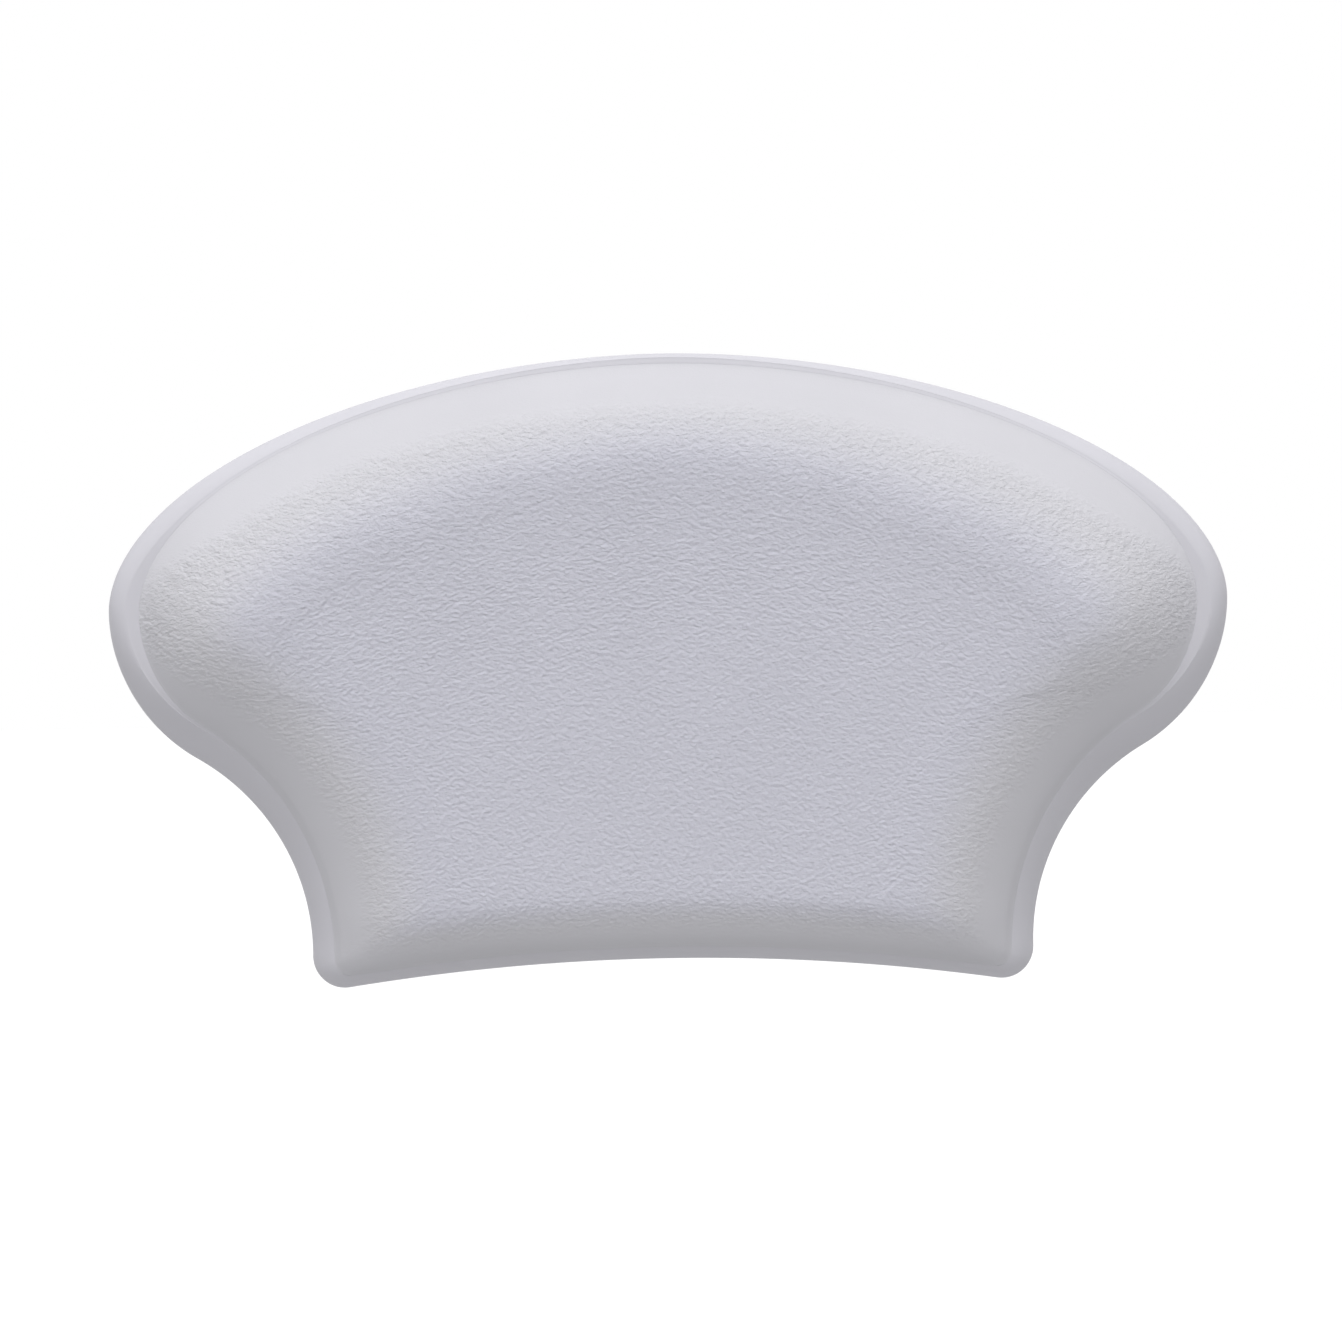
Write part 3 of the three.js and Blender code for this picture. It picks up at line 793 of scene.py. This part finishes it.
def makeScrewShape():
    profile = list(screwForm["point"])
    for turn in range(screwForm["turns"]):  # thread as close rings
        low = screwForm["threadStart"] + screwForm["pitch"] * turn
        profile += [(screwForm["root"], low), (screwForm["crest"], low + screwForm["pitch"] / 2)]
    profile += screwForm["shank"] + screwForm["head"]
    body = turnedPiece("screwShape", profile, count=40)
    cutAway(body, crossedBoxes("cross", **screwForm["cross"]))
    return body


def setAtStations(name, shape, finish):  # one shape at every pin station
    spots = bpy.data.meshes.new(name)
    spots.from_pydata([(x * mm, 0, z * mm) for x, z in stations], [], [])
    piece = addObject(name, spots)
    tree, sockets, given = newTree(name + "Set", "NodeSocketObject", ["Shape"])
    info = put(tree, "GeometryNodeObjectInfo", {"Object": given["Shape"]})
    inputs = {"Points": given["Geometry"], "Instance": info.outputs["Geometry"]}
    placed = put(tree, "GeometryNodeInstanceOnPoints", inputs)
    applyTree(piece, tree, placed.outputs[0], finish, {sockets["Shape"]: shape})
    dropPiece(shape)
    return piece


# finishes, on Object coordinates


def newFinish(name, **sockets):
    material = bpy.data.materials.new(name)
    material.use_nodes = True
    tree = material.node_tree
    shader = tree.nodes["Principled BSDF"]
    for socket, value in sockets.items():
        shader.inputs[socket].default_value = value
    return material, tree, shader, put(tree, "ShaderNodeTexCoord").outputs["Object"]


def noise(tree, coords, size, detail=2.0, rough=0.5):  # size of a blotch in mm
    inputs = {"Vector": coords, "Scale": 1 / (size * mm), "Detail": detail, "Roughness": rough}
    return put(tree, "ShaderNodeTexNoise", inputs).outputs[0]


def ramp(tree, factor, first, second, low=0.3, high=0.7):
    node = put(tree, "ShaderNodeValToRGB", {"Fac": factor})
    for element, colour, at in zip(node.color_ramp.elements, (first, second), (low, high)):
        element.color = (*colour, 1)
        element.position = at
    return node.outputs["Color"]


def shade(tree, factor, least, low=0.3, high=0.7):  # grey to white, to multiply a tone with
    return ramp(tree, factor, (least,) * 3, (1.0,) * 3, low, high)


def blend(tree, factor, a, b, kind="MIX"):
    inputs = {0: factor, 6: a, 7: b}
    return put(tree, "ShaderNodeMix", inputs, data_type="RGBA", blend_type=kind).outputs[2]


def spread(tree, value, low, high):
    return put(tree, "ShaderNodeMapRange", {"Value": value, "To Min": low, "To Max": high}).outputs[0]


def bump(tree, shader, height, strength, distance):  # distance in mm
    inputs = {"Height": height, "Strength": strength, "Distance": distance * mm}
    tree.links.new(put(tree, "ShaderNodeBump", inputs).outputs[0], shader.inputs["Normal"])


skinLook = {
    # face is the middle's bluer tone, painted bluish light on the front-facing middle; wall is the
    # roll-off's tone
    "face": (0.515, 0.515, 0.578, 1),
    "wall": (0.53, 0.526, 0.559, 1),
    "specular": 0.2,
    "gloss": (0.68, 0.8),
    "glossBlotch": 6.0,  # blotches and pores in mm
    "blotch": 38.0,
    "pore": 0.45,
    "poreShare": 0.1,
    "shade": 0.97,  # darkest tone of the random blotches, and of the painted shade in the grain's creases
    "creaseShade": (0.3, 0.5),  # part of the grain pattern that gets painted crease shade
    "creaseDetail": 3.0,
    "relief": 0.42,
}


def skinFinish():
    look = skinLook
    material, tree, shader, coords = newFinish("grainedSkin", **{"Specular IOR Level": look["specular"]})
    grain = put(tree, "ShaderNodeAttribute", attribute_name="grain").outputs["Fac"]
    pattern = grainPattern(tree, coords, grainForm["ridge"] * mm, grainForm["stretch"],
                           look["creaseDetail"], grainForm["wander"], grainForm["seed"])
    middle = put(tree, "ShaderNodeAttribute", attribute_name="middle").outputs["Fac"]
    # painted light: the middle turns to the bluer face tone, which stands in for bluish light on the
    # front-facing middle
    tone = blend(tree, middle, look["wall"], look["face"])
    blotch = shade(tree, noise(tree, coords, look["blotch"], detail=3.0), look["shade"])
    # painted shade: the colour darkens in the grain's creases, as far as the grain mask reaches
    creaseShade = shade(tree, pattern, look["shade"], *look["creaseShade"])
    creaseShadeOnGrain = blend(tree, grain, (1, 1, 1, 1), creaseShade)
    tone = blend(tree, 1.0, blend(tree, 1.0, tone, blotch, "MULTIPLY"), creaseShadeOnGrain, "MULTIPLY")
    tree.links.new(tone, shader.inputs["Base Color"])
    gloss = spread(tree, noise(tree, coords, look["glossBlotch"]), *look["gloss"])
    tree.links.new(gloss, shader.inputs["Roughness"])
    pores = calc(tree, "MULTIPLY", noise(tree, coords, look["pore"], rough=0.55), look["poreShare"])
    relief = calc(tree, "ADD", pores, calc(tree, "MULTIPLY", pattern, grain))
    bump(tree, shader, relief, strength=1.0, distance=look["relief"])
    return material


rimLook = {
    "tone": (0.536, 0.53, 0.57, 1),
    "specular": 0.15,
    "gloss": (0.52, 0.62),
    "glossBlotch": 5.0,  # blotches and pores in mm
    "blotch": 30.0,
    "shade": 0.97,
    "pore": 0.8,
}


def rimFinish():
    look = rimLook
    material, tree, shader, coords = newFinish("satinRim", **{"Specular IOR Level": look["specular"]})
    blotch = shade(tree, noise(tree, coords, look["blotch"], detail=3.0), look["shade"])
    tree.links.new(blend(tree, 1.0, look["tone"], blotch, "MULTIPLY"), shader.inputs["Base Color"])
    gloss = spread(tree, noise(tree, coords, look["glossBlotch"]), *look["gloss"])
    tree.links.new(gloss, shader.inputs["Roughness"])
    bump(tree, shader, noise(tree, coords, look["pore"]), strength=0.12, distance=0.06)
    return material


# cell size in mm; the darker hollow colour is painted shade in the foam's cells
foamLook = {"cell": 0.7, "hollow": (0.45, 0.44, 0.40), "wall": (0.70, 0.69, 0.65), "span": (0.1, 0.55)}


def foamFinish():
    material, tree, shader, coords = newFinish("openFoam", Roughness=0.95)
    inputs = {"Vector": coords, "Scale": 1 / (foamLook["cell"] * mm)}
    cells = put(tree, "ShaderNodeTexVoronoi", inputs).outputs["Distance"]
    # painted shade: the cell hollows are darker than the cell walls
    tone = ramp(tree, cells, foamLook["hollow"], foamLook["wall"], *foamLook["span"])
    tree.links.new(tone, shader.inputs["Base Color"])
    bump(tree, shader, cells, strength=0.6, distance=0.25)
    return material


pinLook = {"dark": (0.014, 0.0145, 0.016), "light": (0.022, 0.0225, 0.0245), "gloss": (0.36, 0.5),
           "texture": 0.4}
plateLook = {"dark": (0.040, 0.042, 0.045), "light": (0.052, 0.054, 0.058), "gloss": (0.49, 0.63),
             "texture": 0.6}
mouldedBlotch = {"tone": 12.0, "gloss": 3.0}  # mm


def mouldedFinish(name, dark, light, gloss, texture):
    material, tree, shader, coords = newFinish(name)
    tone = ramp(tree, noise(tree, coords, mouldedBlotch["tone"], detail=3.0), dark, light)
    tree.links.new(tone, shader.inputs["Base Color"])
    roughness = spread(tree, noise(tree, coords, mouldedBlotch["gloss"]), *gloss)
    tree.links.new(roughness, shader.inputs["Roughness"])
    bump(tree, shader, noise(tree, coords, texture), strength=0.25, distance=0.05)
    return material


steelLook = {"dark": (0.47, 0.48, 0.50), "light": (0.58, 0.59, 0.61), "gloss": (0.22, 0.4),
             "blotch": 4.0, "glossBlotch": 0.6, "texture": 0.25}


def steelFinish():
    look = steelLook
    material, tree, shader, coords = newFinish("stainless", Metallic=1.0)
    tone = ramp(tree, noise(tree, coords, look["blotch"]), look["dark"], look["light"])
    tree.links.new(tone, shader.inputs["Base Color"])
    gloss = spread(tree, noise(tree, coords, look["glossBlotch"], detail=3.0), *look["gloss"])
    tree.links.new(gloss, shader.inputs["Roughness"])
    bump(tree, shader, noise(tree, coords, look["texture"]), strength=0.1, distance=0.02)
    return material


def wear(piece, finish):
    piece.data.materials.clear()
    piece.data.materials.append(finish)


# build

face = makeFaceSkin()
pressGrain(face, skinFinish())
print("face skin,", len(face.data.polygons), "faces")

tray = makeBackTray()
wear(tray, rimFinish())
print("back tray,", len(tray.data.polygons), "faces")

core = makeFoamCore()
wear(core, foamFinish())
print("foam core,", len(core.data.polygons), "faces")

stainless = steelFinish()
pins = setAtStations("snapPins", makePinShape(), mouldedFinish("acetal", **pinLook))
washers = setAtStations("pinWashers", makeWasherShape(), stainless)
screws = setAtStations("pinScrews", makeScrewShape(), stainless)
print("pins, washers and screws set at", len(stations), "stations")

plate = cadNodes["stiffener_plate"]
wear(plate, mouldedFinish("ribbedPlate", **plateLook))

corners = ["upper_left", "upper_right", "lower_left", "lower_right"]
for piece, slot, solids in (
    (face, "face_skin", ["face_skin"]),
    (tray, "rim_foam", ["back_tray"]),
    (core, "core_foam", ["foam_core"]),
    (pins, "pin_plastic", ["snap_pin_" + c for c in corners]),
    (washers, "fastener_steel", ["pin_washer_" + c for c in corners]),
    (screws, "fastener_steel", ["pin_screw_" + c for c in corners]),
):
    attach(piece, "root")
    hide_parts(*solids)
print("pieces ride and replace their solids")


# studio: pale floor well below, soft light from above and in front

studio = {
    "floorDrop": 0.25,  # metres
    "floorHalf": 30.0,
    "floorTone": 0.47,
    "floorLift": 0.5,  # only where the floor is seen or reflected, brings it to white
    "ambient": 0.55,
    "lampAway": 1.5,
    "lamps": {
        "overhead": {"towards": (0.05, -0.3, 0.95), "strength": 1.85, "softness": 60},
        "left": {"towards": (-0.42, -0.26, 0.87), "strength": 0.6, "softness": 60},
        "front": {"towards": (0.0, -1.0, 0.05), "strength": 1.2, "softness": 60},
    },
}


def seenOrReflected(tree):
    path = put(tree, "ShaderNodeLightPath").outputs
    seen = calc(tree, "MAXIMUM", path["Is Camera Ray"], path["Is Glossy Ray"])
    return calc(tree, "MAXIMUM", seen, path["Is Transmission Ray"])


def makeWorld():
    world = bpy.data.worlds.new("studioWorld")
    scene.world = world
    world.use_nodes = True
    tree = world.node_tree
    lit = tree.nodes["Background"]
    lit.inputs["Color"].default_value = (1, 1, 1, 1)
    lit.inputs["Strength"].default_value = studio["ambient"]
    shown = put(tree, "ShaderNodeBackground", {"Color": (1, 1, 1, 1), "Strength": 1.0})
    inputs = {0: seenOrReflected(tree), 1: lit.outputs[0], 2: shown.outputs[0]}
    choose = put(tree, "ShaderNodeMixShader", inputs)
    tree.links.new(choose.outputs[0], tree.nodes["World Output"].inputs["Surface"])


def makeFloor():
    level = cadBox[0][2] - studio["floorDrop"]
    half = studio["floorHalf"]
    mesh = bpy.data.meshes.new("floor")
    square = [(-half, -half, level), (half, -half, level), (half, half, level), (-half, half, level)]
    mesh.from_pydata(square, [], [[0, 1, 2, 3]])
    floor = addObject("floor", mesh)
    material = bpy.data.materials.new("paleFloor")
    material.use_nodes = True
    tree = material.node_tree
    shader = tree.nodes["Principled BSDF"]
    shader.inputs["Base Color"].default_value = (*[studio["floorTone"]] * 3, 1)
    shader.inputs["Roughness"].default_value = 0.9
    shader.inputs["Specular IOR Level"].default_value = 0.0
    lift = calc(tree, "MULTIPLY", seenOrReflected(tree), studio["floorLift"])
    glow = put(tree, "ShaderNodeEmission", {"Strength": lift})
    both = put(tree, "ShaderNodeAddShader", {0: shader.outputs[0], 1: glow.outputs[0]})
    tree.links.new(both.outputs[0], tree.nodes["Material Output"].inputs["Surface"])
    mesh.materials.append(material)


def makeLamp(name, towards, strength, softness):
    lamp = bpy.data.lights.new(name, "SUN")
    lamp.energy = strength
    lamp.angle = math.radians(softness)
    holder = addObject(name, lamp)
    holder.location = Vector(towards).normalized() * studio["lampAway"]
    holder.rotation_euler = Vector(towards).to_track_quat("Z", "Y").to_euler()


view = {
    "away": 1.2,  # metres, from the plane in which the frame's width is taken
    "plane": 0.008,  # in front of the seat plane
    "aim": (0.0005, -0.0006),  # across and up
    "roll": 0.87,  # degrees
    "frame": 0.337,
    "sensor": 36.0,  # mm
}


def makeCamera():
    data = bpy.data.cameras.new("photoView")
    data.sensor_width = view["sensor"]
    data.sensor_fit = "HORIZONTAL"
    data.lens = view["sensor"] * view["away"] / view["frame"]
    data.clip_start = 0.01
    data.clip_end = 100
    camera = addObject("photoView", data)
    camera.location = (view["aim"][0], -view["away"] - view["plane"], view["aim"][1])
    camera.rotation_euler = (math.radians(90), math.radians(view["roll"]), 0)
    scene.camera = camera


makeWorld()
makeFloor()
for lampName, lampForm in studio["lamps"].items():
    makeLamp(lampName, **lampForm)
makeCamera()
scene.view_settings.view_transform = "Standard"
print("studio set")
